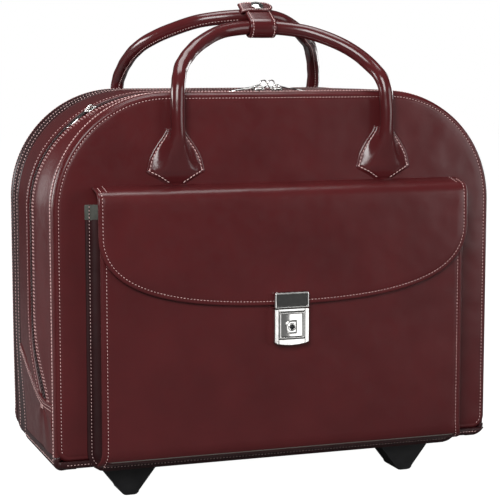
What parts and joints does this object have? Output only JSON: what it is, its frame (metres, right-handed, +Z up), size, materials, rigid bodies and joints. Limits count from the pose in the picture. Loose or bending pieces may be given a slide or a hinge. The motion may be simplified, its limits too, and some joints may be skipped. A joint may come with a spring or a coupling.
{
  "type": "rolling laptop case",
  "caption": "Stiff leather laptop case that rolls on two rear wheels, with a flap pocket and lock, two carrying handles, zipped main compartment and telescopic trolley.",
  "frame": {"origin": "on the floor, at the middle of the bounding box in x and y", "axes": "+Z up, -Y is the front with the flap pocket, +X is to the right seen from the front"},
  "size_m": [0.42, 0.2346, 0.4473],
  "materials": {
    "leather": "semi-gloss",
    "leather_dark": "satin",
    "lining": "matte",
    "board": "matte",
    "zip_chain": "matte",
    "nickel": "polished",
    "aluminium": "satin",
    "black_plastic": "satin",
    "rubber": "matte"
  },
  "bodies": {
    "rear_shell": {"rear_panel": "leather", "rear_gusset": "leather", "rear_zip_chain": "zip_chain", "side_panel_left": "leather", "side_panel_right": "leather", "base_panel": "leather_dark", "rear_board": "board", "base_board": "board", "compartment_divider": "lining", "laptop_sleeve": "lining", "trolley_cover": "leather", "trolley_bezel": "black_plastic", "trolley_outer_left": "aluminium", "trolley_outer_right": "aluminium", "wheel_housing_left": "black_plastic", "wheel_housing_right": "black_plastic", "axle_left": "aluminium", "axle_right": "aluminium", "front_foot_left": "black_plastic", "front_foot_right": "black_plastic", "rear_tab_left": "leather", "rear_tab_right": "leather"},
    "front_shell": {"front_panel": "leather", "front_gusset": "leather", "front_zip_chain": "zip_chain", "front_board": "board", "pocket_front": "leather", "pocket_gusset": "leather_dark", "pocket_organiser": "lining", "flap_top_strip": "leather", "front_tab_left": "leather", "front_tab_right": "leather", "lock_body": "nickel"},
    "flap": {"pocket_flap": "leather", "lock_strike_plate": "nickel"},
    "lock_button": {"lock_button": "nickel"},
    "key_plug": {"key_plug": "nickel"},
    "front_handle": {"front_handle_tube": "leather", "handle_wrap": "leather"},
    "rear_handle": {"rear_handle_tube": "leather", "wrap_tongue": "leather", "snap_cap": "nickel"},
    "wheel_left": {"wheel_tyre_left": "rubber", "wheel_hub_left": "black_plastic"},
    "wheel_right": {"wheel_tyre_right": "rubber", "wheel_hub_right": "black_plastic"},
    "trolley_middle": {"trolley_middle_left": "aluminium", "trolley_middle_right": "aluminium"},
    "trolley_top": {"trolley_inner_left": "aluminium", "trolley_inner_right": "aluminium", "trolley_grip": "black_plastic"},
    "grip_button": {"grip_button": "black_plastic"},
    "slider_top_left": {"slider_top_left": "nickel"},
    "slider_top_right": {"slider_top_right": "nickel"},
    "slider_corner": {"slider_corner": "nickel"},
    "pull_top_left": {"pull_top_left": "nickel"},
    "pull_top_right": {"pull_top_right": "nickel"},
    "pull_corner": {"pull_corner": "nickel"}
  },
  "joints": [
    {"name": "front_open", "type": "hinge", "parent": "rear_shell", "child": "front_shell", "pos_m": [0, -0.0858, 0.035], "axis": [1, 0, 0], "range_deg": [0, 25]},
    {"name": "flap_lift", "type": "hinge", "parent": "front_shell", "child": "flap", "pos_m": [0, -0.1103, 0.28], "axis": [-1, 0, 0], "range_deg": [0, 110]},
    {"name": "lock_press", "type": "slide", "parent": "front_shell", "child": "lock_button", "axis": [0, 1, 0], "range_m": [0, 0.0015]},
    {"name": "key_turn", "type": "hinge", "parent": "lock_button", "child": "key_plug", "pos_m": [0, -0.1153, 0.156], "axis": [0, 1, 0], "range_deg": [0, 90]},
    {"name": "front_handle_fold", "type": "hinge", "parent": "front_shell", "child": "front_handle", "pos_m": [0, -0.0963, 0.331], "axis": [1, 0, 0], "range_deg": [0, 90]},
    {"name": "rear_handle_fold", "type": "hinge", "parent": "rear_shell", "child": "rear_handle", "pos_m": [0, 0.1087, 0.331], "axis": [-1, 0, 0], "range_deg": [0, 100]},
    {"name": "wheel_left_spin", "type": "hinge", "parent": "rear_shell", "child": "wheel_left", "pos_m": [-0.16, 0.0917, 0.025], "axis": [1, 0, 0], "continuous": true},
    {"name": "wheel_right_spin", "type": "hinge", "parent": "rear_shell", "child": "wheel_right", "pos_m": [0.16, 0.0917, 0.025], "axis": [1, 0, 0], "continuous": true},
    {"name": "trolley_middle_slide", "type": "slide", "parent": "rear_shell", "child": "trolley_middle", "axis": [0, 0, 1], "range_m": [0, 0.25]},
    {"name": "trolley_top_slide", "type": "slide", "parent": "trolley_middle", "child": "trolley_top", "axis": [0, 0, 1], "range_m": [0, 0.25]},
    {"name": "grip_button_press", "type": "slide", "parent": "trolley_top", "child": "grip_button", "axis": [0, 0, -1], "range_m": [0, 0.002]},
    {"name": "slider_left_run", "type": "slide", "parent": "rear_shell", "child": "slider_top_left", "axis": [-1, 0, 0], "range_m": [0, 0.075]},
    {"name": "slider_right_run", "type": "slide", "parent": "rear_shell", "child": "slider_top_right", "axis": [1, 0, 0], "range_m": [0, 0.075]},
    {"name": "slider_corner_run", "type": "hinge", "parent": "rear_shell", "child": "slider_corner", "pos_m": [-0.107, -0.0428, 0.262], "axis": [0, -1, 0], "range_deg": [-18, 45]},
    {"name": "pull_left_flip", "type": "hinge", "parent": "slider_top_left", "child": "pull_top_left", "pos_m": [-0.013, -0.0513, 0.3712], "axis": [0, 1, 0], "range_deg": [0, 130]},
    {"name": "pull_right_flip", "type": "hinge", "parent": "slider_top_right", "child": "pull_top_right", "pos_m": [0.013, -0.0513, 0.3712], "axis": [0, -1, 0], "range_deg": [0, 130]},
    {"name": "pull_corner_flip", "type": "hinge", "parent": "slider_corner", "child": "pull_corner", "pos_m": [-0.16941, -0.0428, 0.35168], "axis": [0, 1, 0], "range_deg": [0, 130]}
  ],
  "couplings": [
    {"joint": "trolley_top_slide", "follows": "trolley_middle_slide", "ratio": 1}
  ]
}
